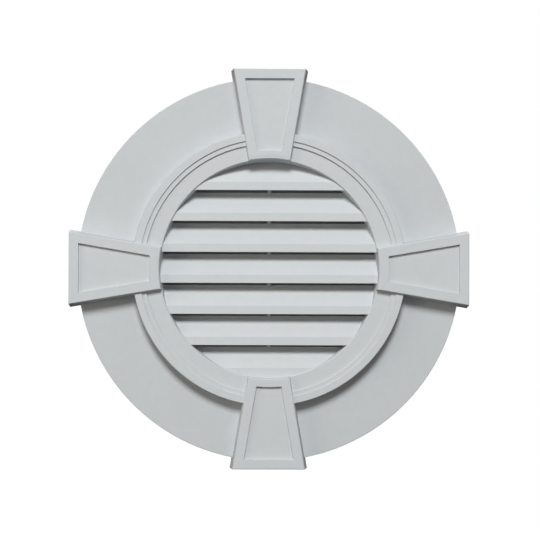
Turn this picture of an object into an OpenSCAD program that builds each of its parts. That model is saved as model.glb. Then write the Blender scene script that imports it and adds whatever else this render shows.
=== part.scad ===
// Round louvred gable vent with four keystones, moulded in one piece, with an
// insect screen stapled to its back.
// The vent stands upright as on a wall: its front faces -Y, up is +Z, and the
// origin is the middle of the flat back.
// Every module below is drawn lying on its back and is stood up at the end.

/* [Trim] */
// Distance across opposite keystones, at the back
overall_w = 1016; // [1000:1:1060]
// Diameter of the flat trim disc
disc_d = 978; // [940:1:990]
// Thickness of the flat trim disc
disc_t = 18; // [12:0.5:24]

/* [Ring] */
// Diameter of the raised ring at its top face
ring_d = 694; // [680:1:740]
// Height of the ring above the disc
ring_h = 33; // [26:0.5:36]
// Width of the ring's highest face
ring_top_w = 18; // [12:0.5:24]
// Width of the ledge between the two steps
ledge_w = 12; // [8:0.5:16]
// Drop from the highest face to the ledge
ledge_drop = 3.5; // [2:0.25:5]
// Drop from the ledge to the lowest band
band_drop = 4.5; // [2:0.25:6]
// Diameter of the louvre opening at the ring's lowest band
opening_d = 555; // [520:1:560]
// Draft of the ring's walls and of the opening, in degrees
wall_draft = 6.5; // [3:0.5:9]

/* [Keystones] */
// Height of a keystone above the disc
key_h = 40; // [38:0.5:48]
// Width of a keystone's outer end, at its front face
key_outer_w = 183; // [160:1:200]
// Width of a keystone's inner end, at its front face
key_inner_w = 104; // [90:1:120]
// Draft of a keystone's sides, in degrees
key_side_draft = 7; // [2:0.5:9]
// Draft of a keystone's outer end, in degrees
key_end_draft = 1; // [0.5:0.5:4]
// Border left around the recessed panel
panel_border = 24; // [20:0.5:30]
// Border between the panel and the opening, on the top and bottom keystones
panel_foot_upright = 20; // [18:0.5:30]
// Border between the panel and the opening, on the left and right keystones
panel_foot_level = 24.5; // [18:0.5:30]
// Depth of the recessed panel
panel_depth = 7; // [3:0.5:8]
// Draft of the panel's sides, in degrees
panel_draft = 7; // [2:0.5:12]
// Width of the lower strip along a keystone's inner end
strip_w = 6.5; // [4:0.5:9]
// Drop from a keystone's face to that strip
strip_drop = 0.6; // [0.4:0.1:1.2]

/* [Louvre] */
// Number of blades
blade_count = 7; // [6:1:7]
// Distance from one blade to the next
blade_pitch = 78.8; // [78:0.1:79.5]
// Height of a blade's upright nose
nose_h = 21; // [18:0.5:24]
// How far the noses stand behind the ring's lowest band
nose_setback = 3.2; // [2:0.1:8]
// How far the nose leans back over its height
nose_lean = 1.8; // [0:0.2:3]
// Height of the rain lip at a blade's back
lip_h = 4.3; // [3:0.1:5]
// Thickness of the rain lip
lip_t = 3.5; // [2.5:0.5:5]
// Clear height between a rain lip and the nose above it
slot_gap = 4.7; // [4.5:0.1:9]
// Width of the stiffener that ties the blades together
stiffener_w = 9; // [6:0.2:14]

/* [Screen and staples] */
// Diameter of the rebate for the insect screen
rebate_d = 570; // [566:1:590]
// Thickness of the insect screen
screen_t = 0.8; // [0.5:0.1:1]
// Number of staples around the screen
staple_count = 16; // [8:1:24]

/* [Edges] */
// Radius of the moulded edges
edge_r = 1.5; // [0.5:0.25:2.5]

/* [Hidden] */

// Segments of a full circle, and of a rounded corner
round_fn = 180;
corner_steps = 3;
// Side of the cubes that cut with one face
big = 1600;
// How far shapes that join run into each other
merge = 5;
// Radius inside which the ring and the keystones are left solid until the bore is cut
blank_r = 240;

// Heights above the back
ring_top = disc_t + ring_h;
ledge_top = ring_top - ledge_drop;
band_top = ledge_top - band_drop;
key_top = disc_t + key_h;

// Radii of the ring
disc_r = disc_d / 2;
ring_r = ring_d / 2;
ring_foot_r = ring_r + ring_h * tan(wall_draft);
step_1_r = ring_r - ring_top_w;
step_2_r = step_1_r - ledge_w;

// Keystone lines at the front face
key_end_y = overall_w / 2 - key_top * tan(key_end_draft);
key_inner_y = sqrt(pow(opening_r(key_top), 2) - pow(key_inner_w / 2, 2));
key_slope = (key_outer_w - key_inner_w) / 2 / (key_end_y - key_inner_y);
key_angle = atan(key_slope);
side_heading = -90 - key_angle;

// Blade section, measured up from the bottom of the nose
nose_front = band_top - nose_setback;
nose_bottom_t = 7;
blade_back = 2;
blade_top = blade_pitch - slot_gap;
underside_share = 0.62;
underside_end = underside_share * blade_top;
nose_arris_r = 2.5;
// The lowest nose starts a little above the opening's foot, and is lengthened to close it
lowest_rise = 4.6;
lowest_nose = -opening_d / 2 + lowest_rise;
sill_drop = 10;
stiffener_front = 7.5;

// Screen and staples, in the rebate at the back
rebate_depth = 1.6;
screen_gap = 2;
wire_w = 1.2;
wire_t = 0.7;
staple_w = 10;
staple_leg = 8;
leg_clearance = 0.05;
staple_ring_r = (rebate_d / 2 + opening_r(rebate_depth)) / 2;

// Radius of the drafted opening at a height above the back
function opening_r(z) = opening_d / 2 + (z - band_top) * tan(wall_draft);

// Corner c of an outline, between points p and q, rounded to the radius c[2]
function rounded_corner(p, c, q) =
    let (
        at = [c[0], c[1]],
        to_p = [p[0], p[1]] - at,
        to_q = [q[0], q[1]] - at,
        u = to_p / norm(to_p),
        v = to_q / norm(to_q),
        half = acos(u * v) / 2,
        centre = at + (u + v) / norm(u + v) * c[2] / sin(half),
        first = at + u * c[2] / tan(half) - centre,
        last = at + v * c[2] / tan(half) - centre,
        a0 = atan2(first[1], first[0]),
        turn = atan2(last[1], last[0]) - a0,
        sweep = turn > 180 ? turn - 360 : turn < -180 ? turn + 360 : turn
    )
    [for (k = [0:corner_steps])
        centre + c[2] * [cos(a0 + sweep * k / corner_steps),
                         sin(a0 + sweep * k / corner_steps)]];

// Outline from a list of [x, y] corners, or [x, y, radius] for a rounded one
function rounded(points) =
    let (n = len(points))
    [for (i = [0:n - 1])
        each len(points[i]) < 3
            ? [points[i]]
            : rounded_corner(points[(i + n - 1) % n], points[i], points[(i + 1) % n])];

// Space inside a plane: through the point at, running along the heading, and
// leaning inwards as it rises
module inside_plane(at, heading, lean) {
    translate(at)
        rotate([0, 0, heading])
            rotate([lean, 0, 0])
                translate([-big / 2, -big, -big / 2])
                    cube(big);
}

// The opening's drafted bore, with the screen's rebate behind it
module opening_cut() {
    translate([0, 0, -1])
        cylinder(h = key_top + 2, r1 = opening_r(-1), r2 = opening_r(key_top + 1), $fn = round_fn);
    translate([0, 0, -1])
        cylinder(h = rebate_depth + 1, d = rebate_d, $fn = round_fn);
}

// Cone that bevels the opening's edge where it meets a face at height z
module opening_bevel(z) {
    reach = edge_r + merge;
    translate([0, 0, z - reach])
        cylinder(h = reach + 1, r1 = opening_r(z) + edge_r - reach,
                 r2 = opening_r(z) + edge_r + 1, $fn = round_fn);
}

// Disc and stepped ring, turned about the vent's axis
module disc_and_ring() {
    profile = rounded([
        [blank_r, 0],
        [disc_r, 0],
        [disc_r, disc_t, edge_r],
        [ring_foot_r, disc_t],
        [ring_r, ring_top, edge_r],
        [step_1_r, ring_top, edge_r / 2],
        [step_1_r - ledge_drop * tan(wall_draft), ledge_top],
        [step_2_r, ledge_top, edge_r / 2],
        [step_2_r - band_drop * tan(wall_draft), band_top],
        [blank_r, band_top],
    ]);
    difference() {
        rotate_extrude($fn = round_fn)
            polygon(profile);
        opening_bevel(band_top);
    }
}

// Planes of one keystone's right side: its drafted wall and the bevel at the front
module key_side_planes() {
    at = [key_inner_w / 2, key_inner_y, key_top];
    intersection() {
        inside_plane(at, side_heading, key_side_draft);
        inside_plane(at - [edge_r, 0, 0], side_heading, 45);
    }
}

// Plane of the panel's right side, which opens outwards as it rises
module panel_side_plane() {
    inside_plane([key_inner_w / 2 - panel_border / cos(key_angle), key_inner_y, key_top],
                 side_heading, -panel_draft);
}

// The recessed panel, with its inner end curved like the opening, a border of foot away from it
module panel_cut(foot) {
    floor_z = key_top - panel_depth;
    arc_r = opening_r(key_top) + foot;
    arc_run = (panel_depth + 1) * tan(panel_draft);
    difference() {
        intersection() {
            translate([-key_outer_w / 2, blank_r, floor_z])
                cube([key_outer_w, overall_w / 2 - blank_r, panel_depth + 1]);
            panel_side_plane();
            mirror([1, 0, 0])
                panel_side_plane();
            inside_plane([0, key_end_y - panel_border, key_top], 0, -panel_draft);
        }
        translate([0, 0, floor_z - 1])
            cylinder(h = panel_depth + 2, r1 = arc_r + arc_run,
                     r2 = arc_r - tan(panel_draft), $fn = round_fn);
    }
}

// The shallow step down along the inner end, curved like the opening
module strip_cut() {
    strip_r = opening_r(key_top) + strip_w;
    rise = strip_drop + 1;
    translate([0, 0, key_top - strip_drop])
        cylinder(h = rise, r1 = strip_r, r2 = strip_r + rise * tan(wall_draft), $fn = round_fn);
}

// One keystone at twelve o'clock, its panel a border of foot away from the opening
module keystone(foot) {
    difference() {
        intersection() {
            translate([-key_outer_w, blank_r, 0])
                cube([2 * key_outer_w, overall_w / 2 + 1 - blank_r, key_top]);
            key_side_planes();
            mirror([1, 0, 0])
                key_side_planes();
            inside_plane([0, key_end_y, key_top], 0, key_end_draft);
            inside_plane([0, key_end_y - edge_r, key_top], 0, 45);
        }
        panel_cut(foot);
        strip_cut();
        opening_bevel(key_top - strip_drop);
    }
}

// Disc, ring and keystones, bored through
module frame() {
    difference() {
        union() {
            disc_and_ring();
            for (i = [0:3])
                rotate([0, 0, 90 * i])
                    keystone(i % 2 == 0 ? panel_foot_upright : panel_foot_level);
        }
        opening_cut();
    }
}

// Section of a blade: across is the depth above the vent's back, up is up
module blade_section(drop) {
    polygon(rounded([
        [nose_front, -drop, edge_r / 2],
        [nose_front - nose_lean, nose_h, nose_arris_r],
        [blade_back + lip_t, blade_top - lip_h],
        [blade_back + lip_t, blade_top, edge_r / 2],
        [blade_back, blade_top],
        [blade_back, underside_end - drop],
        [nose_front - nose_bottom_t, -drop],
    ]));
}

// One blade right across the opening; drop lengthens its nose downwards
module blade(height, drop) {
    translate([opening_d, height, 0])
        rotate([0, -90, 0])
            linear_extrude(2 * opening_d)
                blade_section(drop);
}

// Upright bar from the opening's foot into the highest blade
module stiffener() {
    height = lowest_nose + (blade_count - 0.5) * blade_pitch + opening_d / 2;
    translate([-stiffener_w / 2, -opening_d / 2, blade_back])
        cube([stiffener_w, height, stiffener_front - blade_back]);
}

// Blades and stiffener, running a little way into the ring's wall
module louvre() {
    intersection() {
        union() {
            for (i = [0:blade_count - 1])
                blade(lowest_nose + i * blade_pitch, i == 0 ? sill_drop : 0);
            stiffener();
        }
        cylinder(h = band_top, r = opening_d / 2 + merge, $fn = round_fn);
    }
}

// The two legs of a staple, made wider by grow to cut the holes they fill
module staple_legs(grow) {
    for (side = [-1, 1])
        translate([side * (staple_w - wire_t) / 2, 0, rebate_depth - screen_t])
            translate([-wire_t / 2 - grow, -wire_w / 2 - grow, -grow])
                cube([wire_t + 2 * grow, wire_w + 2 * grow, staple_leg + 2 * grow]);
}

module at_staples() {
    for (i = [0:staple_count - 1])
        rotate([0, 0, 360 * (i + 0.5) / staple_count])
            translate([0, staple_ring_r, 0])
                children();
}

// Frame that stands a piece up on its edge, front towards -Y
module stand_up() {
    rotate([90, 0, 0])
        children();
}

// The one-piece moulding
module vent_body() {
    color([0.78, 0.80, 0.80])
        stand_up()
            difference() {
                union() {
                    frame();
                    louvre();
                }
                at_staples()
                    staple_legs(leg_clearance);
            }
}

// Mesh sheet in the rebate, with a hole for each staple leg
module insect_screen() {
    color([0.16, 0.16, 0.17])
        stand_up()
            difference() {
                translate([0, 0, rebate_depth - screen_t])
                    cylinder(h = screen_t, d = rebate_d - 2 * screen_gap, $fn = round_fn);
                at_staples()
                    staple_legs(leg_clearance);
            }
}

// Flat wire staples that hold the screen's edge
module screen_staples() {
    color([0.62, 0.63, 0.65])
        stand_up()
            at_staples() {
                translate([-staple_w / 2, -wire_w / 2, rebate_depth - screen_t - wire_t])
                    cube([staple_w, wire_w, wire_t]);
                staple_legs(0);
            }
}

vent_body();
insect_screen();
screen_staples();
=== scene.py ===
"""Finish, light and camera for a round louvred gable vent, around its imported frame.

The vent stands upright as on a wall: its front faces -Y and up is +Z. Lengths are in metres.
"""

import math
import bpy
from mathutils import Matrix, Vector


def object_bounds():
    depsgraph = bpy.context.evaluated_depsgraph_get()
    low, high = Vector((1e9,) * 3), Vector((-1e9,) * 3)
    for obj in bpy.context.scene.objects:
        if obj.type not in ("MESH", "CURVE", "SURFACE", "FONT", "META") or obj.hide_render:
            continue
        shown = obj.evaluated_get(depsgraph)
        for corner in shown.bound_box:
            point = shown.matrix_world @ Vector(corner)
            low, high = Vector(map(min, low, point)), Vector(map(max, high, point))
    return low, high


bl_info = {
    "name": "Gable Vent Finish",
    "version": (1, 0, 0),
    "blender": (4, 5, 0),
    "location": "View3D > Sidebar > Gable Vent",
    "description": "Paints a moulded gable vent, weaves its insect screen and sets its stage",
    "category": "Object",
}

import bmesh
import bpy
from bpy.props import FloatProperty, FloatVectorProperty, PointerProperty
from bpy.types import Operator, Panel, PropertyGroup
from mathutils import Matrix, Vector

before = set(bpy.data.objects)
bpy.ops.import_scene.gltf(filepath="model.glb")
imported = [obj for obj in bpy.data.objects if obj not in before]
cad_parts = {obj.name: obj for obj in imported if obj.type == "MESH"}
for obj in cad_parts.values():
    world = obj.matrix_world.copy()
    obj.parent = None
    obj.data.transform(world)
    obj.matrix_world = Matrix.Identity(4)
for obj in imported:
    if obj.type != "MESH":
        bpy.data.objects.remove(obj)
CAD_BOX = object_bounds()
WHITE = (1.0, 1.0, 1.0, 1.0)

# The picture, in pixels of its 540 x 540 frame
PICTURE = 540
FOCAL_PIXELS = 1637.6
# How far the picture's middle lies right of the vent's and below it
PICTURE_RIGHT = 1.05
PICTURE_BELOW = 0.95

# The vent's clockwise roll in the picture, and the width of the camera's sensor in millimetres
PICTURE_ROLL = math.radians(0.2)
SENSOR = 36


class Wire:
    """A node's output, with arithmetic that adds Math nodes."""

    def __init__(self, finish, socket):
        self.finish = finish
        self.socket = socket

    def math(self, operation, *others):
        """This value put through a Math node, with a second after it if it takes two."""
        values = dict(enumerate((self, *others)))
        return self.finish.node("ShaderNodeMath", {"operation": operation}, values)

    def __add__(self, other):
        return self.math("ADD", other)

    def __sub__(self, other):
        return self.math("SUBTRACT", other)

    def __rsub__(self, other):
        settings = {"operation": "SUBTRACT"}
        return self.finish.node("ShaderNodeMath", settings, {0: other, 1: self})

    def __mul__(self, other):
        return self.math("MULTIPLY", other)

    def __truediv__(self, other):
        return self.math("DIVIDE", other)

    __radd__ = __add__
    __rmul__ = __mul__


class Finish:
    """The nodes of one material or of the world."""

    def __init__(self, tree):
        self.tree = tree
        tree.nodes.clear()

    def node(self, kind, settings=None, values=None, output=0):
        """A new node: its settings first, then its sockets' values or links."""
        made = self.tree.nodes.new(kind)
        for name, value in (settings or {}).items():
            setattr(made, name, value)
        for name, value in (values or {}).items():
            if isinstance(value, Wire):
                self.tree.links.new(value.socket, made.inputs[name])
            else:
                made.inputs[name].default_value = value
        return Wire(self, made.outputs[output] if len(made.outputs) else None)

    def position(self):
        """A point on the object, and its three coordinates."""
        where = self.node("ShaderNodeTexCoord", output="Object")
        split = self.node("ShaderNodeSeparateXYZ", values={0: where})
        return where, [Wire(self, axis) for axis in split.socket.node.outputs]

    def noise(self, where, size, detail=2.0):
        """Cloudy values between 0 and 1, with lumps about as large as the size."""
        values = {"Vector": where, "Scale": 1 / size, "Detail": detail}
        return self.node("ShaderNodeTexNoise", values=values)

    def smooth_step(self, value, low, high):
        """0 below low and 1 above high, with a smooth way between."""
        settings = {"interpolation_type": "SMOOTHSTEP"}
        return self.node("ShaderNodeMapRange", settings, {0: value, 1: low, 2: high})

    def mix_colours(self, factor, first, second):
        """A colour between two colours."""
        settings = {"data_type": "RGBA"}
        return self.node("ShaderNodeMix", settings, {0: factor, 6: first, 7: second}, output=2)

    def shade(self, colour, by):
        """A colour made lighter or darker by a factor near 1."""
        grey = self.node("ShaderNodeCombineColor", values={0: by, 1: by, 2: by})
        settings = {"data_type": "RGBA", "blend_type": "MULTIPLY"}
        return self.node("ShaderNodeMix", settings, {0: 1.0, 6: colour, 7: grey}, output=2)

    def bump(self, height, depth):
        """A normal from a height between 0 and 1 that stands for a depth."""
        return self.node("ShaderNodeBump", values={"Height": height, "Distance": depth})

    def surface(self, values):
        """The material's one Principled shader, and its output."""
        shader = self.node("ShaderNodeBsdfPrincipled", values=values)
        self.node("ShaderNodeOutputMaterial", values={"Surface": shader})

    def background_rays(self):
        """1 for rays that bring the background to the eye, also by gloss or through glass."""
        path = self.node("ShaderNodeLightPath").socket.node.outputs
        kinds = ("Is Camera Ray", "Is Glossy Ray", "Is Transmission Ray")
        straight, by_gloss, through_glass = (Wire(self, path[kind]) for kind in kinds)
        return straight.math("MAXIMUM", by_gloss).math("MAXIMUM", through_glass)


def new_material(name):
    """An empty material and the builder of its nodes."""
    material = bpy.data.materials.new(name)
    material.use_nodes = True
    return material, Finish(material.node_tree)


def put_on(node, material):
    """Puts a material in every slot of a CAD node."""
    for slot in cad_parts[node].material_slots:
        slot.material = material


class VentLook(PropertyGroup):
    """Colours and textures of the vent's three kinds of piece."""

    paint: FloatVectorProperty(
        name="Paint",
        description="Colour of the moulding's painted face",
        subtype="COLOR",
        size=3,
        default=(0.585, 0.62, 0.64),
        min=0,
        max=1,
    )
    foam: FloatVectorProperty(
        name="Foam",
        description="Colour of the bare foam at the back",
        subtype="COLOR",
        size=3,
        default=(0.66, 0.63, 0.54),
        min=0,
        max=1,
    )
    grain: FloatProperty(
        name="Grain",
        description="Size of the grain that the mould leaves in the paint",
        unit="LENGTH",
        default=0.0016,
        min=0.0005,
        max=0.005,
    )
    mesh: FloatVectorProperty(
        name="Mesh",
        description="Colour of the insect screen's strands",
        subtype="COLOR",
        size=3,
        default=(0.26, 0.26, 0.26),
        min=0,
        max=1,
    )
    mesh_pitch: FloatProperty(
        name="Mesh pitch",
        description="Distance between the strands of the insect screen",
        unit="LENGTH",
        default=0.0014,
        min=0.001,
        max=0.004,
    )


class StageLook(PropertyGroup):
    """Camera, lights and floor."""

    distance: FloatProperty(
        name="Camera distance",
        description="From the camera to the vent's back",
        unit="LENGTH",
        default=4.2,
        min=2,
        max=10,
    )
    rise: FloatProperty(
        name="Camera rise",
        description="How far the camera looks down on the vent; less than nothing looks up",
        subtype="ANGLE",
        default=math.radians(-1.1),
        min=math.radians(-30),
        max=math.radians(30),
    )
    side: FloatProperty(
        name="Camera side",
        description="How far the camera stands to the left of the vent's front",
        subtype="ANGLE",
        default=math.radians(0.8),
        min=math.radians(-30),
        max=math.radians(30),
    )
    key_rise: FloatProperty(
        name="Main light's rise",
        description="Angle of the main light above the vent's front",
        subtype="ANGLE",
        default=math.radians(38.5),
        min=math.radians(10),
        max=math.radians(70),
    )
    key_side: FloatProperty(
        name="Main light's side",
        description="Angle of the main light to the left of the vent's front",
        subtype="ANGLE",
        default=math.radians(2.5),
        min=math.radians(-60),
        max=math.radians(60),
    )
    key_level: FloatProperty(
        name="Main light's level",
        description="Brightness of a white card that faces the main light, where 1 is white",
        default=0.885,
        min=0,
        max=2,
    )
    front_level: FloatProperty(
        name="Front light's level",
        description="Brightness of a white card that faces the soft light in front",
        default=0.058,
        min=0,
        max=2,
    )
    left_level: FloatProperty(
        name="Left light's level",
        description="Brightness of a white card that faces the soft light on the left",
        default=0.275,
        min=0,
        max=2,
    )
    right_level: FloatProperty(
        name="Right light's level",
        description="Brightness of a white card that faces the soft light on the right",
        default=0.112,
        min=0,
        max=2,
    )
    back_level: FloatProperty(
        name="Back light's level",
        description="Brightness of a white card that faces the soft light behind the vent",
        default=0.75,
        min=0,
        max=2,
    )
    soft_colour: FloatVectorProperty(
        name="Soft lights' colour",
        description="Colour of the soft lights around the front; the other lights are white",
        subtype="COLOR",
        size=3,
        default=(1.0, 0.90, 0.81),
        min=0,
        max=1,
    )
    sky_level: FloatProperty(
        name="Room light",
        description="Brightness of the even light from all round, where 1 is white",
        default=0.005,
        min=0,
        max=1,
    )
    floor_drop: FloatProperty(
        name="Floor drop",
        description="From the vent's lowest point to the floor",
        unit="LENGTH",
        default=0.8,
        min=0,
        max=3,
    )


class VENT_OT_paint_moulding(Operator):
    """Paint the one-piece moulding, and leave bare foam on its back"""

    bl_idname = "vent.paint_moulding"
    bl_label = "Paint the moulding"

    cloud_size = 0.16
    mottle_size = 0.02
    pore_size = 0.0022
    grain_depth = 0.00012
    # Heights above the back: where the paint ends, the disc, and what is raised on it
    back_edge = 0.0004
    low_face = 0.020
    raised_face = 0.040
    # How much painted shade darkens the disc below the raised faces
    painted_shade_share = 0.04

    def execute(self, context):
        look = context.scene.vent_look
        material, finish = new_material("painted_moulding")
        where, (_, depth, _) = finish.position()
        cloud = finish.noise(where, self.cloud_size)
        mottle = finish.noise(where, self.mottle_size)
        grain = finish.noise(where, look.grain, detail=3.0)
        # Painted shade: the disc, recessed behind the ring and the keystones, is painted a
        # little darker than them
        painted_disc_shade = finish.smooth_step(depth, -self.raised_face, -self.low_face)
        tone = 0.975 + 0.05 * cloud + 0.06 * mottle - self.painted_shade_share * painted_disc_shade
        paint = finish.shade((*look.paint, 1.0), tone)

        cells = {"Vector": where, "Scale": 1 / self.pore_size}
        pores = finish.node("ShaderNodeTexVoronoi", values=cells)
        pits = finish.smooth_step(pores, 0.10, 0.30)
        foam = finish.shade((*look.foam, 1.0), 0.80 + 0.14 * pits + 0.12 * mottle)
        back = finish.smooth_step(depth, -2 * self.back_edge, -self.back_edge)

        skin = (1 - back) * grain * 0.35 + back * pits
        finish.surface({
            "Base Color": finish.mix_colours(back, paint, foam),
            "Roughness": 0.60 + 0.08 * mottle + 0.25 * back,
            "Specular IOR Level": 0.0,
            "Normal": finish.bump(skin, self.grain_depth),
        })
        put_on("vent_body", material)
        return {"FINISHED"}


class VENT_OT_weave_screen(Operator):
    """Weave the grey strands of the insect screen"""

    bl_idname = "vent.weave_screen"
    bl_label = "Weave the screen"

    strand_share = 0.36
    strand_depth = 0.0003
    dust_size = 0.05

    def strands(self, along, pitch):
        """Height of a row of round strands across one axis: 0 in the gap and 1 on top."""
        off = (along / pitch).math("FRACT") - 0.5
        across = off.math("ABSOLUTE") / (self.strand_share / 2)
        return (1 - across * across).math("MAXIMUM", 0.0).math("SQRT")

    def execute(self, context):
        look = context.scene.vent_look
        pitch = look.mesh_pitch
        material, finish = new_material("screen_mesh")
        where, (across, _, up) = finish.position()
        turn = math.pi / pitch
        wave = (across * turn).math("SINE") * (up * turn).math("SINE")
        over = wave * 0.5 + 0.5
        warp = self.strands(across, pitch)
        weft = self.strands(up, pitch)
        height = (warp * (0.6 + 0.4 * over)).math("MAXIMUM", weft * (1.0 - 0.4 * over))
        strand = finish.smooth_step(height, 0.05, 0.45)
        dust = finish.noise(where, self.dust_size, detail=4.0)
        # Painted shade: the gaps between the strands are darkened as if one looked through them
        # into shade, as the sheet has no holes
        tone = (0.15 + 0.85 * strand) * (0.85 + 0.3 * dust)
        finish.surface({
            "Base Color": finish.shade((*look.mesh, 1.0), tone),
            "Roughness": 0.62 - 0.12 * strand,
            "Normal": finish.bump(height, self.strand_depth),
        })
        put_on("insect_screen", material)
        return {"FINISHED"}


class VENT_OT_finish_staples(Operator):
    """Give the staples their drawn, galvanised wire"""

    bl_idname = "vent.finish_staples"
    bl_label = "Finish the staples"

    wire_colour = (0.56, 0.57, 0.59, 1.0)
    bloom_size = 0.004
    scratch_size = 0.0006
    scratch_depth = 0.00004

    def execute(self, context):
        material, finish = new_material("staple_wire")
        where, _ = finish.position()
        bloom = finish.noise(where, self.bloom_size, detail=3.0)
        scratch = finish.noise(where, self.scratch_size)
        finish.surface({
            "Base Color": finish.shade(self.wire_colour, 0.85 + 0.25 * bloom),
            "Metallic": 1.0,
            "Roughness": 0.30 + 0.2 * scratch,
            "Normal": finish.bump(scratch, self.scratch_depth),
        })
        put_on("screen_staples", material)
        return {"FINISHED"}


class VENT_OT_set_stage(Operator):
    """Set the floor, the soft lights and the camera"""

    bl_idname = "vent.set_stage"
    bl_label = "Set the stage"

    floor_side = 9.0
    # The floor's colour to the light, what the eye sees beyond that, and its glow in the middle
    floor_dark = 0.03
    floor_pale = 0.55
    floor_glow = 0.12

    # Each lamp's distance and width, after its rise and side where those are no settings
    key_lamp = (12.0, 4.3)
    back_lamp = (math.radians(35), math.radians(190), 8.0, 4.0)
    soft_lamps = {
        "front": (0.0, 0.0, 6.0, 5.0),
        "left": (math.radians(5), math.radians(60), 6.0, 4.0),
        "right": (math.radians(5), math.radians(-60), 6.0, 4.0),
    }

    def add_floor(self, drop):
        """A plain pale floor below the vent."""
        sheet = bmesh.new()
        half = self.floor_side / 2
        place = Matrix.Translation((0, 0, CAD_BOX[0].z - drop))
        bmesh.ops.create_grid(sheet, x_segments=1, y_segments=1, size=half, matrix=place)
        mesh = bpy.data.meshes.new("floor")
        sheet.to_mesh(mesh)
        sheet.free()
        floor = bpy.data.objects.new("floor", mesh)
        bpy.context.scene.collection.objects.link(floor)
        material, finish = new_material("pale_floor")
        seen = finish.background_rays()
        where, _ = finish.position()
        settings = {"operation": "LENGTH"}
        away = finish.node("ShaderNodeVectorMath", settings, {0: where}, output=1)
        rim = finish.smooth_step(away, 0.3 * self.floor_side, half)
        glow = self.floor_glow + (1 - self.floor_glow) * rim
        # The eye sees a pale floor with the vent's shadow on it,
        # but the floor throws little light back
        finish.surface({
            "Base Color": finish.shade(WHITE, self.floor_dark + self.floor_pale * seen),
            "Roughness": 0.9,
            "Emission Color": finish.shade(WHITE, seen * glow),
            "Emission Strength": 1.0,
        })
        mesh.materials.append(material)

    def add_world(self, level):
        """Even light from all round, and white where the eye sees past the vent."""
        world = bpy.data.worlds.new("room")
        world.use_nodes = True
        finish = Finish(world.node_tree)
        strength = level + (1 - level) * finish.background_rays()
        sky = finish.node("ShaderNodeBackground", values={"Color": WHITE, "Strength": strength})
        finish.node("ShaderNodeOutputWorld", values={"Surface": sky})
        bpy.context.scene.world = world

    def add_light(self, name, level, rise, side, distance, width):
        """A round soft light that faces the vent, from above and from the left."""
        lamp = bpy.data.lights.new(name, "AREA")
        lamp.shape = "DISK"
        lamp.size = width
        lamp.energy = level * (math.pi * distance) ** 2
        towards = self.towards(rise, side)
        light = bpy.data.objects.new(name, lamp)
        light.location = towards * distance
        light.rotation_euler = (-towards).to_track_quat("-Z", "Y").to_euler()
        bpy.context.scene.collection.objects.link(light)
        return lamp

    def towards(self, rise, side):
        """The way out from the vent's front, up by one angle and to the left by another."""
        ahead = math.cos(rise)
        return Vector((-ahead * math.sin(side), -ahead * math.cos(side), math.sin(rise)))

    def add_camera(self, look):
        """The camera at the picture's angle, framed as the picture is."""
        lens = bpy.data.cameras.new("camera")
        lens.sensor_width = SENSOR
        lens.lens = FOCAL_PIXELS / PICTURE * SENSOR
        lens.shift_x = PICTURE_RIGHT / PICTURE
        lens.shift_y = -PICTURE_BELOW / PICTURE
        camera = bpy.data.objects.new("camera", lens)
        towards = self.towards(look.rise, look.side)
        camera.location = towards * look.distance
        facing = (-towards).to_track_quat("-Z", "Y").to_matrix().to_4x4()
        roll = Matrix.Rotation(PICTURE_ROLL, 4, "Z")
        camera.rotation_euler = (facing @ roll).to_euler()
        bpy.context.scene.collection.objects.link(camera)
        bpy.context.scene.camera = camera

    def execute(self, context):
        look = context.scene.vent_stage
        context.scene.view_settings.view_transform = "Standard"
        self.add_floor(look.floor_drop)
        self.add_world(look.sky_level)
        key_angles = (look.key_rise, look.key_side)
        self.add_light("key", look.key_level, *key_angles, *self.key_lamp)
        self.add_light("back", look.back_level, *self.back_lamp)
        for name, place in self.soft_lamps.items():
            level = getattr(look, name + "_level")
            self.add_light(name, level, *place).color = look.soft_colour
        self.add_camera(look)
        return {"FINISHED"}


class VENT_PT_panel(Panel):
    """The vent's finishes and stage in the sidebar"""

    bl_label = "Gable Vent"
    bl_category = "Gable Vent"
    bl_space_type = "VIEW_3D"
    bl_region_type = "UI"

    def draw(self, context):
        for group, operators in PANEL_ROWS:
            settings = getattr(context.scene, group)
            for name in settings.__annotations__:
                self.layout.prop(settings, name)
            for operator in operators:
                self.layout.operator(operator.bl_idname)


PANEL_ROWS = (
    ("vent_look", (VENT_OT_paint_moulding, VENT_OT_weave_screen, VENT_OT_finish_staples)),
    ("vent_stage", (VENT_OT_set_stage,)),
)
CLASSES = (
    VentLook,
    StageLook,
    VENT_OT_paint_moulding,
    VENT_OT_weave_screen,
    VENT_OT_finish_staples,
    VENT_OT_set_stage,
    VENT_PT_panel,
)


def register():
    for made in CLASSES:
        bpy.utils.register_class(made)
    bpy.types.Scene.vent_look = PointerProperty(type=VentLook)
    bpy.types.Scene.vent_stage = PointerProperty(type=StageLook)


def unregister():
    del bpy.types.Scene.vent_stage
    del bpy.types.Scene.vent_look
    for made in reversed(CLASSES):
        bpy.utils.unregister_class(made)


def main():
    register()
    bpy.ops.vent.paint_moulding()
    bpy.ops.vent.weave_screen()
    bpy.ops.vent.finish_staples()
    bpy.ops.vent.set_stage()


if __name__ == "__main__":
    main()
